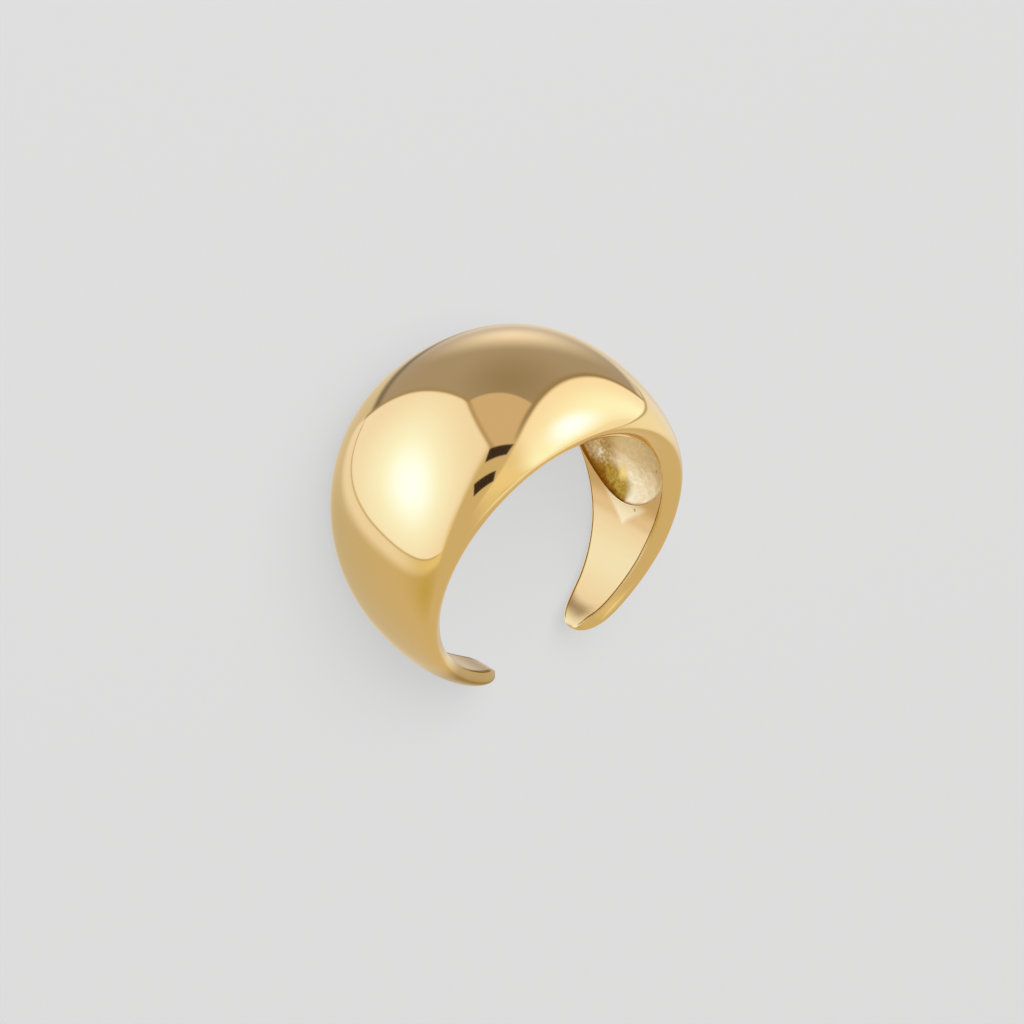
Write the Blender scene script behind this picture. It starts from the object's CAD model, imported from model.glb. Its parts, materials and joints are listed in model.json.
"""Open dome ring in polished gold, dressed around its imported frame.

The ring is one swept form: stations run from tip to tip, and each one goes from the crown over the lip,
round the crisp inner edge, over a fine groove, across the flat land and into the hollow under the dome.
The pale and dark shapes on the polished gold are the studio round it, which only reflections see.
"""

import json
import math

import bpy
from bpy.props import FloatProperty, FloatVectorProperty, IntProperty, PointerProperty
from mathutils import Matrix, Vector


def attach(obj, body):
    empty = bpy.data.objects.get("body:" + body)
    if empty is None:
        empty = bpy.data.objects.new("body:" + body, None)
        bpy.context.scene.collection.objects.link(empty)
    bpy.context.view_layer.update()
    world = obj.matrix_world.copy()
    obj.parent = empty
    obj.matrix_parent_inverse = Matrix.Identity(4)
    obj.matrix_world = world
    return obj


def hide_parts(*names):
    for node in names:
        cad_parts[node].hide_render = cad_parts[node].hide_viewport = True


bl_info = {
    "name": "Dome ring",
    "version": (1, 0, 0),
    "blender": (4, 5, 0),
    "location": "3D View > Sidebar > Ring",
    "description": "Builds an open dome ring and the studio round it",
    "category": "Object",
}

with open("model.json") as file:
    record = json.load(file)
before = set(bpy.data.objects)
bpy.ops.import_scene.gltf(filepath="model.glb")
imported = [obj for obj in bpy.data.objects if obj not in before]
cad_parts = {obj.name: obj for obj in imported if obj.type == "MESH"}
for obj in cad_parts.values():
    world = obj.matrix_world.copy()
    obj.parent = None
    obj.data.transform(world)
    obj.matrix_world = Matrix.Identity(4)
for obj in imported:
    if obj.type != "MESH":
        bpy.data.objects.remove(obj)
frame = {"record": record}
HOLE = next(m for m in frame["record"]["mounts"] if m["name"] == "finger_hole")
MM = 0.001
QUARTER = math.pi / 2

# The form
STEP = 0.01  # short step with which a curve's direction is read
PULL = 0.66  # how far the rounded corner follows those directions
KEPT = 0.7  # least share of the half-width that is left inside the softened edge, and again inside the groove
LEAST = 1e-7  # smallest height that anything is divided by
CLOSING = 2e-7  # points this close to each other become one
LAND_RISE = 1.7  # how fast the land narrows towards the crown
CAST_RISE = 40  # how fast the cast skin sets in past the rim of the hollow
RELIEF_RISE = 6  # how fast its relief sets in
SEAM_RISE = 3  # how fast the groove's line sets in from the end of a tip
ROUGH_NOISE = 0.6  # roughness of the noise that shapes the relief
SEAT = Vector((0, -0.005, 0.015)) * MM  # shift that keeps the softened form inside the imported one

# Edges and lines on the gold with their soft widths, in degrees from the crown
STRIP_FROM = (70, 20)
STRIP_TO = (90, 6)
STAIN_FROM = (78, 14)
STAIN_WIDENS = (93, 8)
LOWER_RIM_FROM = (70, 20)
UPPER_RIM_FROM = (80, 6)
FROST_FROM = (100, 4)
TAN_FROM = (118, 14)
WORN_FROM = (124, 14)
CRESCENT = (152.6, 6.2)
SEAM_TO = (158, 3)

# The same in the hollow, as shares of its half-width from -1 at its lower rim to 1 at its upper rim
LOWER_RIM = (-0.96, 0.03)
STRIP = (-0.62, 0.3)
STAIN = (-0.5, 0.46)
UPPER_LINE = (0.86, 0.08)
UPPER_RIM = (0.93, 0.04)

# Marks that casting left: millimetres across the band, then degrees from the crown
NICKS = ((1.2, 102.6), (2.6, 84), (-2.2, 84))
NICK_SIZE = (0.16, 1.1)
PATCH = (-0.85, 92.5)
PATCH_SIZE = (0.7, 5)
FROST = (0.2, 102)
FROST_SIZE = (1.9, 9.5)


def length(name, description, default):
    """A size that is given here in millimetres and kept in metres."""
    return FloatProperty(name=name, description=description, default=default * MM, unit="LENGTH", precision=5)


def angle(name, description, default):
    """An angle that is given here in degrees."""
    return FloatProperty(name=name, description=description, default=math.radians(default), subtype="ANGLE")


def share(name, description, default):
    return FloatProperty(name=name, description=description, default=default, subtype="FACTOR", soft_max=3)


def steps(name, description, default):
    return IntProperty(name=name, description=description, default=default, min=2)


def colour(name, description, default):
    return FloatVectorProperty(name=name, description=description, default=default, size=3, subtype="COLOR",
                               min=0, max=4)


def vector(name, description, default):
    return FloatVectorProperty(name=name, description=description, default=default, size=3, subtype="XYZ",
                               precision=6)


class RingSizes(bpy.types.PropertyGroup):
    """The ring's form."""

    hole_radius: length("Finger hole", "Radius of the finger hole", HOLE["dims"]["r_mm"])
    tip_reach: angle("Tip", "Angle from the crown to each tip, seen along the finger", 159.5)
    tip_width: length("Tip width", "Width of the band at the tips", 2.7)
    tip_height: length("Tip thickness", "Thickness of the band at the tips", 1.28)
    dome_width: length("Dome width", "Width of the ring across the crown", 15.79)
    dome_height: length("Dome height", "Height of the crown over the finger hole", 4.65)
    dome_fall: share("Dome fall", "Power with which the height falls off from the crown", 2.2)
    crown_fullness: share("Crown fullness", "Cross-section at the crown: 1 is a parabola, 2 an ellipse", 1)
    side_fullness: share("Side fullness", "Cross-section at the sides of the finger", 2)
    lip_height: length("Lip height", "Height of the widest line over the finger hole", 0.8)
    lip_crown: length("Lip at the crown", "Set-back of the inner edge from the widest line", 0.85)
    lip_tip: length("Lip at the tips", "Set-back of the inner edge from the widest line", 0.42)
    lip_curve: share("Lip curve", "Roundness of the lip, as a power", 1.6)
    lip_height_share: share("Lip height share", "Most of the height that the lip takes near a tip", 0.55)
    lip_width_share: share("Lip width share", "Most of the half-width that the lip takes near a tip", 0.5)
    tip_side: angle("Tip narrowing", "Angle over which a tip narrows to its end", 17)
    tip_square: share("Tip squareness", "Squareness of that narrowing, as a power", 2.5)
    tip_top: angle("Tip top", "Angle over which the outer face rolls down to the end", 11)
    tip_foot: angle("Tip foot", "Angle over which the inner face rolls up to the end", 12)
    tip_nose: share("Tip nose", "Height of the end of a tip, as a share of its thickness", 0.35)
    foot_reach: length("Foot reach", "How far the roll of a tip starts inside the finger hole", 0.06)
    round_crown: share("Roundness over the lip", "Share of the crown curve that rounds into the lip", 0.16)
    round_lip: share("Roundness of the lip", "Share of the lip that rounds into the crown curve", 0.3)
    edge_share: share("Edge softness on the lip", "Share of the lip that rounds the inner edge", 0.09)
    edge_round: length("Edge softness on the land", "Width of the land that rounds the inner edge", 0.06)
    groove: length("Groove", "Width of the fine groove just inside the inner edge, near the tips", 0.14)
    groove_fall: share("Groove narrowing", "Share of its width that the groove loses at the crown", 0.75)
    groove_depth: length("Groove depth", "Depth of that groove", 0.035)
    hollow_reach: angle("Hollow", "Angle from the crown to each end of the hollow", 102)
    hollow_end: angle("Hollow end", "Angle over which each end of the hollow is rounded", 20)
    wall: length("Wall", "Wall over the hollow at its deepest line", 1)
    land_crown: length("Land at the crown", "Flat land between the hollow and the groove", 0.01)
    land_side: length("Land at the sides", "The same land at each end of the hollow", 0.06)
    hollow_fullness: share("Hollow fullness", "Fullness of the hollow's cross-section", 1.6)
    cast_relief: length("Cast relief", "Height of the soft lumps that casting left in the hollow", 0.05)
    cast_lumps: length("Cast lumps", "Size of those lumps", 0.8)
    pit_depth: length("Pit depth", "Depth of the small casting pits in the hollow", 0.05)
    pit_radius: length("Pit radius", "Radius of those pits", 0.13)
    pit_spacing: length("Pit spacing", "Mean distance between those pits", 1.1)
    hand_wave: length("Hand wave", "Height of the faint waves that hand polishing left", 0.0025)
    hand_waves: length("Hand waves", "Size of those waves", 2.2)
    stations: steps("Stations", "Steps from tip to tip", 300)
    crown_steps: steps("Crown steps", "Steps from the crown line to the widest line", 30)
    corner_steps: steps("Corner steps", "Steps round the widest line", 12)
    lip_steps: steps("Lip steps", "Steps down the lip", 8)
    edge_steps: steps("Edge steps", "Steps round the inner edge", 4)
    groove_steps: steps("Groove steps", "Steps across the fine groove", 6)
    land_steps: steps("Land steps", "Steps across the land", 28)
    roof_steps: steps("Roof steps", "Steps from the rim to the middle of the hollow", 36)


class RingFinish(bpy.types.PropertyGroup):
    """The gold."""

    gold: colour("Gold", "Colour of the polished plate", (0.86, 0.66, 0.33))
    champagne: colour("Champagne", "Colour of the cast skin in the hollow", (0.93, 0.77, 0.49))
    deep: colour("Deep gold", "Colour of the deeper grains in the hollow", (0.66, 0.44, 0.15))
    stain: colour("Stain", "Golden brown low in the hollow", (0.43, 0.23, 0.012))
    dark: colour("Dark rim", "Golden brown of the hollow's lower rim and of grains in the stain",
                 (0.36, 0.17, 0.01))
    satin_gold: colour("Satin gold", "Colour of the round inner face", (0.80, 0.56, 0.265))
    pale: colour("Pale gold", "Colour of the frosty patch below each end of the hollow", (0.97, 0.83, 0.53))
    amber: colour("Amber gold", "Colour of the small golden patch in the hollow", (0.88, 0.59, 0.17))
    tan: colour("Tan gold", "Duller gold inside one tip and along the hollow's rims", (0.58, 0.44, 0.24))
    worn: colour("Worn gold", "Deeper gold outside that tip, where the plate is worn", (0.47, 0.32, 0.12))
    dull: colour("Dull gold", "Colour of the nicks and of the crescent inside each tip", (0.42, 0.265, 0.115))
    edge: colour("Edge", "Colour of the thin line along the inner edge", (0.38, 0.21, 0.02))
    polish: share("Polish", "Roughness of the polished gold", 0.03)
    satin: share("Satin", "Roughness of the round inner face", 0.17)
    cast: share("As cast", "Roughness of the gold in the hollow", 0.34)
    frost: share("Frost", "How far the frosty patch takes that roughness", 0.5)
    frost_grit: share("Frost grit", "Share of the grains' height in the frosty patch", 0.4)
    grain: length("Grain", "Size of the grains in the cast skin", 0.22)
    cloud: length("Clouds", "Size of the larger patches in the finish", 1.3)
    grit: length("Grit", "Height of the grains", 0.012)


class StudioLook(bpy.types.PropertyGroup):
    """The floor, the camera, the light, and the studio as the gold reflects it."""

    floor: colour("Floor", "Colour of the floor", (0.785, 0.785, 0.785))
    floor_rough: share("Floor roughness", "Roughness of the floor", 0.9)
    floor_size: length("Floor size", "Side of the floor", 900)
    air: colour("Air", "Plain light from all sides on the floor", (0.75, 0.75, 0.75))
    lamp: FloatProperty(name="Lamp", description="Power of the soft lamp over the floor", default=0.38,
                        unit="POWER")
    lamp_size: length("Lamp size", "Side of the soft lamp", 420)
    lamp_place: vector("Lamp place", "Where the soft lamp hangs", (-0.04, -0.12, 0.36))
    lens: FloatProperty(name="Lens", description="Focal length of the camera", default=166.7, unit="CAMERA")
    sensor: FloatProperty(name="Sensor", description="Width of the camera's sensor", default=36,
                          unit="CAMERA")
    nearest: length("Nearest", "Distance from which the camera sees", 10)
    camera: vector("Camera", "Where the camera stands", (0.136504, -0.072756, 0.250905))
    picture_right: vector("Picture right", "Direction to the right in the picture", (-0.7848, 0.3190, 0.5314))
    picture_down: vector("Picture down", "Direction down in the picture", (0.4043, 0.9133, 0.0489))

    room: colour("Room", "The room at large", (0.71, 0.60, 0.41))
    table: colour("Table", "The table farther off", (0.64, 0.57, 0.44))
    table_below: colour("Table below", "The table under the ring", (0.74, 0.67, 0.53))
    table_behind: colour("Table behind", "The table behind the ring", (0.74, 0.66, 0.54))
    gold_wall: colour("Golden wall", "The wall on the right", (0.62, 0.51, 0.20))
    ceiling: colour("Ceiling", "The lighter ceiling", (0.86, 0.76, 0.50))
    dark: colour("Dark part", "The dark part of the room over the crown", (0.45, 0.40, 0.38))
    dark_middle: colour("Darkest part", "Its darkest part", (0.36, 0.30, 0.25))
    window: colour("Window", "A window's faint light in it", (1.02, 0.98, 1.02))
    window_low: colour("Low window", "That light near the outline", (0.76, 0.70, 0.70))
    dark_rim: colour("Dark line", "The line where the dark part ends", (0.24, 0.21, 0.18))
    cream: colour("Cream", "The table that the outline on the right reflects", (0.84, 0.76, 0.63))
    screen: colour("Screen", "The tan screen between the lights", (0.72, 0.59, 0.48))
    wall: colour("Window wall", "The pale wall on the left", (0.93, 0.92, 0.93))
    wall_warm: colour("Warm wall", "That wall farther up", (1.02, 1.00, 0.93))
    wall_top: colour("Wall top", "That wall behind the fill light", (1.06, 1.02, 0.94))
    fill_frame: colour("Fill frame", "The frame of the fill light", (0.36, 0.29, 0.20))
    fill_side: colour("Fill side", "The frame at its straight side", (0.58, 0.48, 0.30))
    fill_cool: colour("Cool fill", "The fill light on the left", (1.12, 1.07, 1.05))
    fill_warm: colour("Warm fill", "The fill light on the right", (0.97, 0.86, 0.60))
    fill_bright: colour("Bright fill", "The middle of the fill light", (1.15, 1.34, 1.42))
    fill_lamp: colour("Fill lamp", "The lamp in the fill light", (1.22, 1.62, 2.8))
    halo: colour("Halo", "The pale halo round the key light", (0.98, 0.94, 0.94))
    halo_warm: colour("Warm halo", "That halo on the right", (0.90, 0.78, 0.46))
    key_left: colour("Key left frame", "The frame at the left of the key light", (0.36, 0.28, 0.17))
    key_corner: colour("Key corner frame", "The frame across its corner", (0.42, 0.31, 0.17))
    key_frame: colour("Key frame", "The frame round the rest of it", (0.55, 0.44, 0.26))
    key_light: colour("Key light", "The key light near its frame", (1.03, 1.01, 1.07))
    key_bright: colour("Bright key", "The middle of the key light", (1.17, 1.46, 1.80))
    key_lamp: colour("Key lamp", "The lamp in the key light", (1.19, 1.58, 2.65))
    flags: colour("Flags", "The two black flags between the lights", (0.05, 0.035, 0.03))


class Value:
    """A number in a node tree, so that a formula can be written as on paper."""

    def __init__(self, tree, socket):
        self.tree = tree
        self.socket = socket

    def math(self, operation, *others):
        node = self.tree.nodes.new("ShaderNodeMath")
        node.operation = operation
        for socket, value in zip(node.inputs, (self, *others)):
            plug(self.tree, value, socket)
        return Value(self.tree, node.outputs[0])

    def __add__(self, other):
        return self.math("ADD", other)

    def __sub__(self, other):
        return self.math("SUBTRACT", other)

    def __mul__(self, other):
        return self.math("MULTIPLY", other)

    def __truediv__(self, other):
        return self.math("DIVIDE", other)

    def __pow__(self, other):
        return self.math("POWER", other)

    def __neg__(self):
        return self * -1

    __radd__ = __add__
    __rmul__ = __mul__

    def __rsub__(self, other):
        return self * -1 + other

    def __rtruediv__(self, other):
        return self ** -1 * other

    def __abs__(self):
        return self.math("ABSOLUTE")


def plug(tree, value, socket):
    """Links a value to a socket, or sets the socket to a plain number."""
    if isinstance(value, Value):
        tree.links.new(value.socket, socket)
    elif isinstance(value, bpy.types.NodeSocket):
        tree.links.new(value, socket)
    else:
        socket.default_value = value


def node(tree, kind, inputs=(), **settings):
    """A new node with its settings and its inputs, by name or number."""
    new = tree.nodes.new(kind)
    for name, value in settings.items():
        setattr(new, name, value)
    for name, value in dict(inputs).items():
        plug(tree, value, new.inputs[name])
    return new


def dot(tree, place, direction):
    """How far a place lies along a direction."""
    product = node(tree, "ShaderNodeVectorMath", {0: place, 1: direction}, operation="DOT_PRODUCT")
    return Value(tree, product.outputs["Value"])


def sin(value):
    return value.math("SINE")


def cos(value):
    return value.math("COSINE")


def least(a, b):
    return a.math("MINIMUM", b)


def most(a, b):
    return a.math("MAXIMUM", b)


def unit(value):
    """The value, kept from 0 to 1."""
    return most(least(value, 1), 0)


def mix(a, b, t):
    return a + (b - a) * t


def smooth(value):
    """A soft step from 0 to 1 as the value goes from 0 to 1."""
    t = unit(value)
    return t * t * (3 - 2 * t)


def quarter_round(left, span, power=2.0):
    """From 0 at an end to 1 where its span is used up."""
    k = unit(left / span)
    return (1 - (1 - k) ** power) ** (1 / power)


def ranged(value, start, end, low, high):
    """A soft step from low to high as the value goes from start to end."""
    ranging = node(value.tree, "ShaderNodeMapRange", {0: value, 1: start, 2: end, 3: low, 4: high},
                   interpolation_type="SMOOTHSTEP")
    return Value(value.tree, ranging.outputs[0])


def under(value, edge, soft):
    """1 below an edge and 0 above it, with a soft step of a given width."""
    return ranged(value, edge - soft / 2, edge + soft / 2, 1, 0)


def over(value, edge, soft):
    """1 above an edge and 0 below it, with a soft step of a given width."""
    return ranged(value, edge - soft / 2, edge + soft / 2, 0, 1)


def near(value, line, width):
    """1 on a line and 0 at a given width from it."""
    return ranged(abs(value - line), 0, width, 1, 0)


class Layers:
    """Colours laid over each other in a node tree."""

    def __init__(self, tree, base):
        self.tree = tree
        self.colour = (*base, 1)

    def lay(self, colour, mask, strength=1):
        """Lays a colour over what is there."""
        if strength != 1:
            mask = mask * strength
        mixed = node(self.tree, "ShaderNodeMix", {0: mask, 6: self.colour, 7: (*colour, 1)}, data_type="RGBA")
        self.colour = mixed.outputs[2]


class Studio(Layers):
    """The studio as polished gold reflects it: layers of colour over every direction.

    A direction is a bearing from the crown's side, -Y, and a height over the floor, in degrees. The edge of a
    round screen or of a long light is a circle round one such direction, and each edge has a soft width.
    """

    FILL = (-132.6, 48)  # the fill light lies between two circles round this direction
    FILL_SIDE = -89.5  # bearing at which it ends on the left
    KEY = (16.8, 13.2)  # the key light lies inside a circle round this, and outside three more
    KEY_LEFT = (-74.9, -5.8)
    KEY_CORNER = (-58, 24.2)
    KEY_TOP = (-152, 64)
    ROOM_END = (141.7, -64.5)  # the dark part of the room lies outside a circle round this
    SCREEN = (20.6, 44.2)  # the round tan screen
    LAMP_SLANT = 0.56  # rise of the streak in the fill light, in degrees for each degree of bearing
    LAMP_HEIGHT = 61.3  # height at which that streak would cross bearing 0
    FLAGS = (  # for each flag its middle, and the steps from there to the middles of its end and its side
        ((13.5, 42.5), (8.5, -3.7), (5.5, 1.3)),
        ((45, 47), (9.5, -5.2), (6.5, 2)),
    )
    FLAG_ENDS = 0.15  # softness of a flag's ends and of its sides, as shares of those steps
    FLAG_SIDES = 0.3

    def __init__(self, tree, look):
        super().__init__(tree, look.room)
        self.look = look
        self.direction = node(tree, "ShaderNodeTexCoord").outputs["Generated"]
        parts = node(tree, "ShaderNodeSeparateXYZ", {0: self.direction})
        x, y, z = (Value(tree, socket) for socket in parts.outputs)
        self.bearing = x.math("ARCTAN2", -y).math("DEGREES")
        self.height = z.math("ARCSINE").math("DEGREES")
        self.fill = self.away(*self.FILL)
        self.key = self.away(*self.KEY)
        self.key_left = self.away(*self.KEY_LEFT)
        self.key_corner = self.away(*self.KEY_CORNER)
        self.key_top = self.away(*self.KEY_TOP)
        self.room_end = self.away(*self.ROOM_END)
        self.screen = self.away(*self.SCREEN)

    def away(self, bearing, height):
        """Degrees between each direction and a given one."""
        b = math.radians(bearing)
        h = math.radians(height)
        pole = (math.sin(b) * math.cos(h), -math.cos(b) * math.cos(h), math.sin(h))
        return dot(self.tree, self.direction, pole).math("ARCCOSINE").math("DEGREES")

    def spot(self, bearing, height, width):
        """1 in a given direction and 0 at a given width from it."""
        return near(self.away(bearing, height), 0, width)

    def flag(self, middle, to_end, to_side):
        """A slanting four-sided patch."""
        cross = to_end[0] * to_side[1] - to_end[1] * to_side[0]
        x = self.bearing - middle[0]
        y = self.height - middle[1]
        along = (x * to_side[1] - y * to_side[0]) / cross
        aside = (y * to_end[0] - x * to_end[1]) / cross
        return under(abs(along), 1, self.FLAG_ENDS) * under(abs(aside), 1, self.FLAG_SIDES)

    def paint(self):
        """A dim warm room with a long fill light overhead and a broad key light in front of the crown."""
        self.paint_room()
        self.paint_dark_part()
        self.paint_window_wall()
        self.paint_fill_light()
        self.paint_key_light()
        for middle, to_end, to_side in self.FLAGS:
            self.lay(self.look.flags, self.flag(middle, to_end, to_side))

    def paint_room(self):
        """The pale table, a golden wall on the right and a lighter ceiling."""
        look = self.look
        self.lay(look.table, under(self.height, -55, 50))
        self.lay(look.table_below, over(self.room_end, 25, 16) * under(self.height, -62, 10))
        self.lay(look.table_behind, self.spot(-140, -42, 34))
        self.lay(look.gold_wall, self.spot(118, -8, 34))
        self.lay(look.ceiling, near(self.height, 66, 18))

    def paint_dark_part(self):
        """The dark part over the crown with a window's faint light, and the screen that ends it."""
        look = self.look
        dark = over(self.fill, 78.5, 2.5) * under(self.key_left, 80, 5) * over(self.room_end, 46, 4)
        dark = dark * under(self.away(-40, -15), 75, 10)
        self.lay(look.dark, dark)
        self.lay(look.dark_middle, dark * self.spot(-22, 10, 36))
        self.lay(look.window, dark * self.spot(-54, -38, 27))
        self.lay(look.window_low, dark * self.spot(-84, -57, 22), strength=0.9)
        self.lay(look.dark_rim, dark * near(self.room_end, 48, 4))
        self.lay(look.cream, self.spot(-102, -50, 24))
        between = over(self.fill, 79, 3) * under(self.key_corner, 64, 3)
        self.lay(look.screen, between * under(self.screen, 40.3, 1.5))

    def paint_window_wall(self):
        """The pale wall on the left, warmer farther up and behind the fill light."""
        look = self.look
        wall = under(self.bearing, -87, 6) * over(self.bearing, -118, 24)
        self.lay(look.wall, wall * over(self.height, -40, 18) * under(self.height, 12, 30))
        self.lay(look.wall_warm, wall * over(self.height, -15, 30) * under(self.height, 26, 30))
        top = under(self.fill, 52.5, 3) * over(self.bearing, self.FILL_SIDE, 2)
        self.lay(look.wall_top, top * under(self.bearing, 140, 30))

    def paint_fill_light(self):
        """The fill light, cool on the left and warm on the right, with its lamp and thin dark frame."""
        look = self.look
        front = under(self.bearing, 70, 60) * over(self.bearing, self.FILL_SIDE, 2)
        band = over(self.fill, 52, 4) * front
        warm = over(self.bearing, 7, 45)
        self.lay(look.fill_frame, near(self.fill, 78.6, 2) * band * under(self.bearing, -10, 30))
        lit = under(self.fill, 77.2, 2) * band
        self.lay(look.fill_cool, lit * (1 - warm))
        self.lay(look.fill_warm, lit * warm)
        self.lay(look.fill_bright, front * (1 - warm) * near(self.fill, 62, 14))
        streak = near(self.height - self.bearing * self.LAMP_SLANT, self.LAMP_HEIGHT, 7.5)
        self.lay(look.fill_lamp, streak * near(self.bearing, -45, 27))
        side = near(self.bearing, self.FILL_SIDE, 1.6)
        self.lay(look.fill_side, side * over(self.height, -32, 8) * under(self.height, 30, 12))

    def paint_key_light(self):
        """The key light with its lamp, its thin dark frame and the pale halo round it."""
        look = self.look
        right = over(self.bearing, 77, 30) * over(self.height, -15, 40)
        halo = under(self.key, 90, 8) * over(self.key_left, 79, 3)
        halo = halo * over(self.key_top, 79, 6) * over(self.key_corner, 62, 3)
        self.lay(look.halo, halo * (1 - right))
        self.lay(look.halo_warm, halo * right)
        beside = under(self.key, 84, 3) * over(self.key_top, 76, 4)
        left_frame = near(self.key_left, 79, 2) * beside * over(self.key_corner, 61, 3)
        self.lay(look.key_left, left_frame, strength=0.8)
        corner_frame = near(self.key_corner, 62, 3) * beside * over(self.key_left, 79, 2)
        self.lay(look.key_corner, corner_frame, strength=0.7)
        outer_frame = near(self.key, 81.6, 1.3) * over(self.key_left, 82, 3)
        outer_frame = outer_frame * over(self.key_top, 84, 8) * over(self.key_corner, 64, 2)
        self.lay(look.key_frame, outer_frame, strength=0.75)
        panel = under(self.key, 81, 1) * over(self.key_left, 80.5, 2)
        panel = panel * over(self.key_top, 81, 9) * over(self.key_corner, 63.5, 3)
        self.lay(look.key_light, panel)
        self.lay(look.key_bright, panel * self.spot(55, -13, 56))
        self.lay(look.key_lamp, panel * self.spot(57, -12, 26))


STRETCHES = ("crown_steps", "corner_steps", "lip_steps", "edge_steps", "groove_steps", "land_steps",
             "roof_steps")


def section_steps(s):
    """Steps of half a cross-section, from the crown line to the middle of the hollow."""
    return sum((s[stretch] for stretch in STRETCHES[1:]), s[STRETCHES[0]])


def ring_point(s, x, y):
    """The ring's surface over a grid that runs from tip to tip along x and round the section along y.

    s holds the sizes. Gives across, radius and angle from the crown, how far into the hollow a point is, and
    marks for the finish.
    """
    station = sin(x * QUARTER)
    along = y * section_steps(s)
    side = along.math("SIGN")
    along = abs(along)
    shares = []
    for stretch in STRETCHES:
        shares.append(unit(along / s[stretch]))
        along = along - s[stretch]
    on_crown, on_corner, on_lip, on_edge, on_groove, on_land, on_roof = shares

    def rise(a):
        """From 0 opposite the crown to 1 at the crown."""
        return (cos(a) + 1) * 0.5

    def half_width(a):
        return mix(s["tip_width"], s["dome_width"], rise(a)) * 0.5

    def height(a):
        return mix(s["tip_height"], s["dome_height"], rise(a) ** s["dome_fall"])

    def lip_in(a):
        return mix(s["lip_tip"], s["lip_crown"], rise(a))

    outer = station * s["tip_reach"]
    inner = sin(station * QUARTER) * s["hollow_reach"]
    over_land = smooth(on_land)
    turn = mix(outer, inner, over_land)

    def foot(a):
        """Radius of the inner face, which rolls up to the nose of a tip."""
        nose = s["tip_nose"] * height(a)
        return s["hole_radius"] + nose - (nose + s["foot_reach"]) * quarter_round(
            s["tip_reach"] - abs(a), s["tip_foot"])

    left = s["tip_reach"] - abs(outer)
    high = height(outer)
    nose = s["tip_nose"] * high
    base = foot(outer)
    top = s["hole_radius"] + nose + (high - nose) * quarter_round(left, s["tip_top"])
    half = half_width(outer) * quarter_round(left, s["tip_side"], s["tip_square"])
    drop = least(s["lip_height"] + s["foot_reach"], s["lip_height_share"] * (top - base))
    inset = least(lip_in(outer), s["lip_width_share"] * half)
    fullness = (s["side_fullness"] + s["crown_fullness"]) * 0.5 - (
        s["side_fullness"] - s["crown_fullness"]) * 0.5 * cos(outer * 2)

    def crown(p):
        """Across and radius over the crown curve, from its middle at 0 to the widest line at 1."""
        return (half * sin(p * QUARTER),
                base + drop + (top - base - drop) * most(cos(p * QUARTER), 0) ** (2 / fullness))

    def lip(k):
        """Across and radius down the lip, from the widest line at 0."""
        return half - inset * (drop * k / s["lip_height"]) ** s["lip_curve"], base + drop * (1 - k)

    crown_end = 1 - s["round_crown"]
    corner_from = crown(crown_end)
    before = crown(crown_end - STEP)
    corner_to = lip(s["round_lip"])
    after = lip(s["round_lip"] + STEP)

    def rounded_corner(i):
        """A curve that leaves the crown and meets the lip in their own directions."""
        t = on_corner
        u = 1 - t
        first = corner_from[i] + (corner_from[i] - before[i]) * (s["round_crown"] * PULL / STEP)
        last = corner_to[i] - (after[i] - corner_to[i]) * (s["round_lip"] * PULL / STEP)
        return corner_from[i] * u * u * u + (first * u + last * t) * u * t * 3 + corner_to[i] * t * t * t

    crown_y, crown_r = crown(on_crown * crown_end)
    edge_k = least((base + drop - s["hole_radius"]) / most(drop, LEAST), 1)
    start_k = edge_k * (1 - s["edge_share"])
    lip_y, lip_r = lip(mix(s["round_lip"], start_k, on_lip))
    start_y, start_r = lip(start_k)
    edge_y, edge_r = lip(edge_k)
    land_y = most(edge_y - s["edge_round"], edge_y * KEPT)

    def bend(a, corner, b):
        """A curve from a to b that is drawn to the crisp corner between them."""
        t = on_edge
        return a * (1 - t) * (1 - t) + corner * t * (1 - t) * 2 + b * t * t

    bent_y = bend(start_y, edge_y, land_y)
    bent_r = bend(start_r, edge_r, edge_r)

    groove_y = most(land_y - s["groove"] * (1 - rise(outer) * s["groove_fall"]), land_y * KEPT)
    seam_y = mix(land_y, groove_y, on_groove)
    seam_r = edge_r + sin(on_groove * QUARTER * 2) * s["groove_depth"] * smooth(left / s["tip_top"])

    end = quarter_round(s["hollow_reach"] - abs(inner), s["hollow_end"])
    land = mix(s["land_side"], s["land_crown"], unit(rise(inner) * LAND_RISE - (LAND_RISE - 1)))
    hollow_half = (half_width(inner) - lip_in(inner) - land) * end
    hollow_deep = (height(inner) - s["wall"]) * end
    flat_y = mix(groove_y, hollow_half, over_land)
    flat_r = most(foot(turn), s["hole_radius"])
    roof_y = hollow_half * most(cos(on_roof * QUARTER), 0)
    roof_r = s["hole_radius"] + hollow_deep * most(sin(on_roof * QUARTER), 0) ** (2 / s["hollow_fullness"])

    def choose(result, *others):
        """The value for the stretch of the section that a point is on."""
        for share_of, other in zip(shares[1:], others):
            result = mix(result, other, share_of.math("GREATER_THAN", 0))
        return result

    across = side * choose(crown_y, rounded_corner(0), lip_y, bent_y, seam_y, flat_y, roof_y)
    radius = choose(crown_r, rounded_corner(1), lip_r, bent_r, seam_r, flat_r, roof_r)
    marks = {
        "cast": smooth(on_roof * end * CAST_RISE),
        "inner": on_groove,
        "seam": on_groove * (1 - on_groove) * 4 * smooth(left / s["tip_top"] * SEAM_RISE),
        "off_middle": side * cos(on_roof * QUARTER),
    }
    return across, radius, turn, smooth(on_roof * end * RELIEF_RISE), marks


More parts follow.
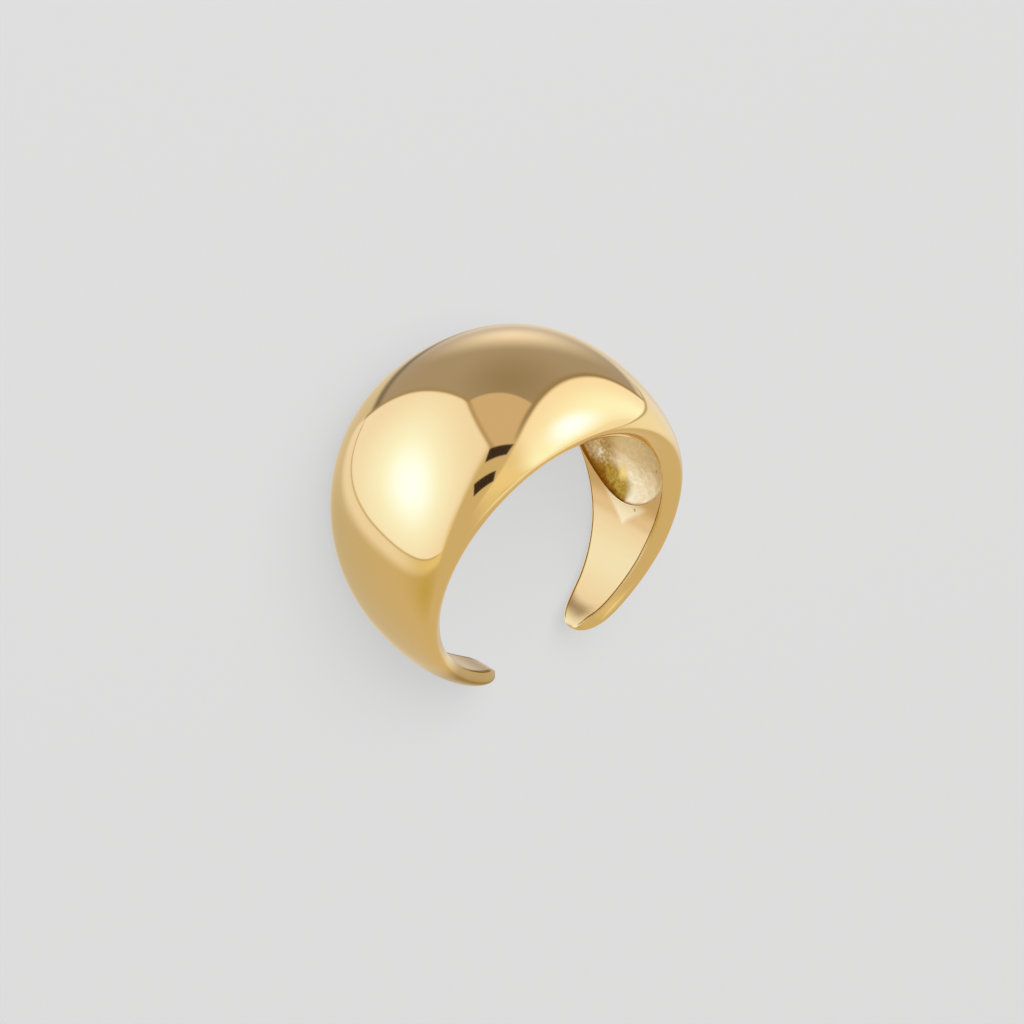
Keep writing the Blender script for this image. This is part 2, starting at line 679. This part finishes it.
def ring_tree(sizes, material):
    """The node tree that makes the ring, and the value for each of its named inputs."""
    tree = bpy.data.node_groups.new("Dome ring", "GeometryNodeTree")
    values = {}
    sockets = {}
    for key, prop in sizes.bl_rna.properties.items():
        if prop.type not in ("FLOAT", "INT"):
            continue
        kind = "NodeSocketFloat" if prop.type == "FLOAT" else "NodeSocketInt"
        item = tree.interface.new_socket(name=prop.name, in_out="INPUT", socket_type=kind)
        values[item.identifier] = getattr(sizes, key)
        sockets[key] = item.identifier
    tree.interface.new_socket(name="Ring", in_out="OUTPUT", socket_type="NodeSocketGeometry")
    given = tree.nodes.new("NodeGroupInput")
    by_id = {socket.identifier: socket for socket in given.outputs}
    s = {key: Value(tree, by_id[identifier]) for key, identifier in sockets.items()}

    # The grid goes from -1 to 1 both ways
    grid = node(tree, "GeometryNodeMeshGrid",
                {"Size X": 2, "Size Y": 2, "Vertices X": s["stations"] + 1,
                 "Vertices Y": section_steps(s) * 2 + 1})
    place = node(tree, "ShaderNodeSeparateXYZ", {0: node(tree, "GeometryNodeInputPosition").outputs[0]})
    across, radius, turn, hollow, marks = ring_point(
        s, Value(tree, place.outputs[0]), Value(tree, place.outputs[1]))

    def placed(radius):
        """The point on the ring, with the finger hole along Z and the crown at -Y."""
        parts = {0: radius * sin(turn), 1: -(radius * cos(turn)), 2: across}
        return node(tree, "ShaderNodeCombineXYZ", parts).outputs[0]

    smooth_place = placed(radius)

    def noise(size, detail):
        """Soft noise from -1 to 1."""
        soft = node(tree, "ShaderNodeTexNoise",
                    {"Vector": smooth_place, "Scale": 1 / size, "Detail": detail, "Roughness": ROUGH_NOISE})
        return Value(tree, soft.outputs[0]) * 2 - 1

    pits = node(tree, "ShaderNodeTexVoronoi", {"Vector": smooth_place, "Scale": 1 / s["pit_spacing"]})
    from_pit = Value(tree, pits.outputs["Distance"]) * s["pit_spacing"] / s["pit_radius"]
    relief = noise(s["cast_lumps"], 3) * s["cast_relief"] + (1 - smooth(from_pit)) * s["pit_depth"]
    waves = noise(s["hand_waves"], 1) * s["hand_wave"]
    rough_place = placed(radius + relief * hollow + waves * (1 - hollow))

    marked = grid
    for name, value in marks.items():
        marked = node(tree, "GeometryNodeStoreNamedAttribute",
                      {"Geometry": marked.outputs[0], "Name": name, "Value": value},
                      data_type="FLOAT", domain="POINT")
    moved = node(tree, "GeometryNodeSetPosition", {"Geometry": marked.outputs[0], "Position": rough_place})
    closed = node(tree, "GeometryNodeMergeByDistance", {"Geometry": moved.outputs[0], "Distance": CLOSING})
    axis = Vector(HOLE["axis"])
    laid = node(tree, "GeometryNodeTransform",
                {"Geometry": closed.outputs[0], "Translation": Vector(HOLE["pos_m"]) + SEAT,
                 "Rotation": (-math.atan2(axis.y, axis.z), 0, 0)})
    shaded = node(tree, "GeometryNodeSetShadeSmooth", {"Geometry": laid.outputs[0]})
    real = node(tree, "GeometryNodeRealizeInstances", {"Geometry": shaded.outputs[0]})
    coated = node(tree, "GeometryNodeSetMaterial", {"Geometry": real.outputs[0], "Material": material})
    out = tree.nodes.new("NodeGroupOutput")
    tree.links.new(coated.outputs[0], out.inputs[0])
    return tree, values


def gold_material(look):
    """Polished gold outside, satin on the inner face, and duller mottled gold as cast in the hollow."""
    material = bpy.data.materials.new("gold")
    material.use_nodes = True
    tree = material.node_tree
    shader = tree.nodes["Principled BSDF"]
    shader.inputs["Metallic"].default_value = 1
    place = node(tree, "ShaderNodeTexCoord").outputs["Object"]
    from_hole = node(tree, "ShaderNodeVectorMath", {0: place, 1: HOLE["pos_m"]}, operation="SUBTRACT")

    def attribute(name):
        return Value(tree, node(tree, "ShaderNodeAttribute", attribute_name=name).outputs["Fac"])

    def noise(size, detail=2):
        """Soft noise from 0 to 1."""
        soft = node(tree, "ShaderNodeTexNoise", {"Vector": place, "Scale": 1 / size, "Detail": detail})
        return Value(tree, soft.outputs[0])

    def measured(direction):
        """Millimetres from the middle of the finger hole, along a direction."""
        return dot(tree, from_hole.outputs[0], direction) / MM

    axis = Vector(HOLE["axis"]).normalized()
    across = measured(axis)
    sideways = measured((1, 0, 0))
    turn = abs(sideways.math("ARCTAN2", measured(axis.cross((-1, 0, 0))))).math("DEGREES")
    # Left and right as the camera sees the ring
    left_arm = over(sideways, 0, 1)
    right_arm = 1 - left_arm
    cast = attribute("cast")
    inner = attribute("inner")
    off_middle = attribute("off_middle")
    land = over(inner, 0.95, 0.1) * (1 - cast)
    grain = noise(look.grain, 4)
    cloud = noise(look.cloud)
    uneven = cloud - 0.5
    coat = Layers(tree, look.gold)

    # The hollow: champagne cast skin with deeper grains, tan along its lower and upper rims
    wall = off_middle + (grain - 0.5) * 0.5
    strip = under(wall, *STRIP) * under(turn, *STRIP_TO)
    mottled = 0.25 + 0.5 * over(grain, 0.5, 0.2)
    coat.lay(look.champagne, cast)
    coat.lay(look.deep, cast * over(grain + cloud * 0.5, 0.74, 0.3), strength=0.28)
    coat.lay(look.tan, cast * strip * over(turn, *STRIP_FROM) * mottled)
    coat.lay(look.tan, cast * over(off_middle, *UPPER_RIM) * over(turn, *UPPER_RIM_FROM), strength=0.5)
    coat.lay(look.pale, cast * near(off_middle, *UPPER_LINE) * over(turn, *UPPER_RIM_FROM))

    # Low in it: a golden-brown stain with dark grains, which is wider at its ends, and a small golden patch
    stain = cast * over(turn + uneven * 10, *STAIN_FROM) * (1 - strip)
    stain = stain * under(wall - over(turn, *STAIN_WIDENS) * 0.5, *STAIN)
    patch = cast * near(across, PATCH[0], PATCH_SIZE[0]) * near(turn, PATCH[1], PATCH_SIZE[1]) * right_arm
    lower_rim = cast * under(off_middle, *LOWER_RIM) * over(turn, *LOWER_RIM_FROM)
    dark_grain = stain * (1 - patch) * over(grain, 0.5, 0.14) * 0.8
    coat.lay(look.stain, stain, strength=0.94)
    coat.lay(look.amber, patch)
    coat.lay(look.dark, most(lower_rim, dark_grain))

    # The round inner face: a frosty patch below each end of the hollow, nicks, a dull crescent at each tip
    frosty = abs(across - FROST[0]) / FROST_SIZE[0] + (turn - FROST[1]) / FROST_SIZE[1] + uneven * 0.3
    frosty = under(frosty, 0.9, 0.4) * over(turn, *FROST_FROM) * land
    crescent = near(turn + across * across * 1.5 + uneven * 2, *CRESCENT) * under(across, 0.8, 1.4) * land
    crescent = crescent * (1 - left_arm * 0.7)
    coat.lay(look.satin_gold, land)
    coat.lay(look.pale, frosty)
    for nick in NICKS:
        at_nick = near(across, nick[0], NICK_SIZE[0]) * near(turn, nick[1], NICK_SIZE[1])
        coat.lay(look.dull, at_nick * most(cast, land) * right_arm)
    coat.lay(look.dull, crescent, strength=0.95)

    # Worn gold outside and inside the left tip, and the thin line along the inner edge
    coat.lay(look.worn, over(turn, *WORN_FROM) * left_arm * under(inner, 0.05, 0.05))
    coat.lay(look.tan, land * over(turn, *TAN_FROM) * left_arm)
    coat.lay(look.edge, over(attribute("seam"), 0.2, 0.4) * under(turn, *SEAM_TO))
    plug(tree, coat.colour, shader.inputs["Base Color"])

    rough = look.polish + noise(look.cloud * 2) * look.polish
    rough = mix(rough, look.satin, land)
    rough = mix(rough, look.cast, most(cast, most(frosty * look.frost, crescent)))
    plug(tree, rough, shader.inputs["Roughness"])
    grit = node(tree, "ShaderNodeBump",
                {"Height": grain, "Distance": look.grit,
                 "Strength": most(cast, most(frosty * look.frost_grit, crescent))})
    tree.links.new(grit.outputs[0], shader.inputs["Normal"])
    return material


def added(context, name, data):
    """A new object in the scene."""
    new = bpy.data.objects.new(name, data)
    context.scene.collection.objects.link(new)
    return new


def add_floor(context, look):
    """A plain floor, which the gold doesn't reflect."""
    half = look.floor_size / 2
    mesh = bpy.data.meshes.new("floor")
    corners = [(-half, -half, 0), (half, -half, 0), (half, half, 0), (-half, half, 0)]
    mesh.from_pydata(corners, [], [(0, 1, 2, 3)])
    floor = added(context, "floor", mesh)
    floor.visible_glossy = False
    material = bpy.data.materials.new("floor")
    material.use_nodes = True
    shader = material.node_tree.nodes["Principled BSDF"]
    shader.inputs["Base Color"].default_value = (*look.floor, 1)
    shader.inputs["Roughness"].default_value = look.floor_rough
    mesh.materials.append(material)


def add_world(context, look):
    """Plain air for the floor, and the painted studio for the reflections in the gold."""
    world = bpy.data.worlds.new("Studio")
    context.scene.world = world
    world.use_nodes = True
    tree = world.node_tree
    plain = tree.nodes["Background"]
    plain.inputs["Color"].default_value = (*look.air, 1)
    studio = Studio(tree, look)
    studio.paint()
    reflected = node(tree, "ShaderNodeBackground", {"Color": studio.colour})
    path = node(tree, "ShaderNodeLightPath")
    both = node(tree, "ShaderNodeMixShader",
                {0: path.outputs["Is Glossy Ray"], 1: plain.outputs[0], 2: reflected.outputs[0]})
    tree.links.new(both.outputs[0], tree.nodes["World Output"].inputs["Surface"])
    world.cycles.sampling_method = "NONE"


def add_lamp(context, look):
    """A soft lamp that gives the ring its shadow on the floor."""
    lamp = bpy.data.lights.new("Soft lamp", "AREA")
    lamp.energy = look.lamp
    lamp.size = look.lamp_size
    hung = added(context, "Soft lamp", lamp)
    hung.visible_glossy = False
    hung.location = look.lamp_place
    hung.rotation_euler = Vector(look.lamp_place).to_track_quat("Z", "Y").to_euler()


def add_camera(context, look):
    """The camera, turned as its picture's right and down directions say."""
    camera = bpy.data.cameras.new("Camera")
    camera.lens = look.lens
    camera.sensor_width = look.sensor
    camera.clip_start = look.nearest
    stand = added(context, "Camera", camera)
    down = Vector(look.picture_down)
    forward = Vector(look.picture_right).cross(down).normalized()
    right = down.cross(forward).normalized()
    turn = Matrix((right, -forward.cross(right), -forward)).transposed().to_4x4()
    stand.matrix_world = Matrix.Translation(look.camera) @ turn
    context.scene.camera = stand


class RING_OT_body(bpy.types.Operator):
    """Build the gold ring"""

    bl_idname = "dome_ring.body"
    bl_label = "Ring"

    def execute(self, context):
        material = gold_material(context.scene.ring_finish)
        tree, values = ring_tree(context.scene.ring_sizes, material)
        ring = added(context, "ring_gold", bpy.data.meshes.new("ring_gold"))
        modifier = ring.modifiers.new("Form", "NODES")
        modifier.node_group = tree
        for identifier, value in values.items():
            modifier[identifier] = value
        mesh = bpy.data.meshes.new_from_object(ring.evaluated_get(context.evaluated_depsgraph_get()))
        ring.modifiers.clear()
        ring.data = mesh
        if not mesh.polygons:
            raise RuntimeError("the ring has no faces")
        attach(ring, "root")
        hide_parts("ring")
        ring.visible_diffuse = False
        return {"FINISHED"}


class RING_OT_stage(bpy.types.Operator):
    """Build the floor, the light and the camera"""

    bl_idname = "dome_ring.stage"
    bl_label = "Studio"

    def execute(self, context):
        look = context.scene.studio_look
        add_floor(context, look)
        add_world(context, look)
        add_lamp(context, look)
        add_camera(context, look)
        context.scene.view_settings.view_transform = "Standard"
        return {"FINISHED"}


class RING_PT_panel(bpy.types.Panel):
    """Sizes, finish and the buttons that build each piece"""

    bl_idname = "RING_PT_panel"
    bl_label = "Dome ring"
    bl_space_type = "VIEW_3D"
    bl_region_type = "UI"
    bl_category = "Ring"

    def draw(self, context):
        scene = context.scene
        for group, operator in ((scene.ring_sizes, "dome_ring.body"), (scene.ring_finish, None),
                                (scene.studio_look, "dome_ring.stage")):
            column = self.layout.column()
            for key in group.bl_rna.properties.keys():
                if key not in ("rna_type", "name"):
                    column.prop(group, key)
            if operator:
                column.operator(operator)


CLASSES = (RingSizes, RingFinish, StudioLook, RING_OT_body, RING_OT_stage, RING_PT_panel)


def register():
    for cls in CLASSES:
        bpy.utils.register_class(cls)
    bpy.types.Scene.ring_sizes = PointerProperty(type=RingSizes)
    bpy.types.Scene.ring_finish = PointerProperty(type=RingFinish)
    bpy.types.Scene.studio_look = PointerProperty(type=StudioLook)


def unregister():
    del bpy.types.Scene.studio_look
    del bpy.types.Scene.ring_finish
    del bpy.types.Scene.ring_sizes
    for cls in reversed(CLASSES):
        bpy.utils.unregister_class(cls)


def main():
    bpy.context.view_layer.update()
    register()
    bpy.ops.dome_ring.body()
    bpy.ops.dome_ring.stage()


if __name__ == "__main__":
    main()
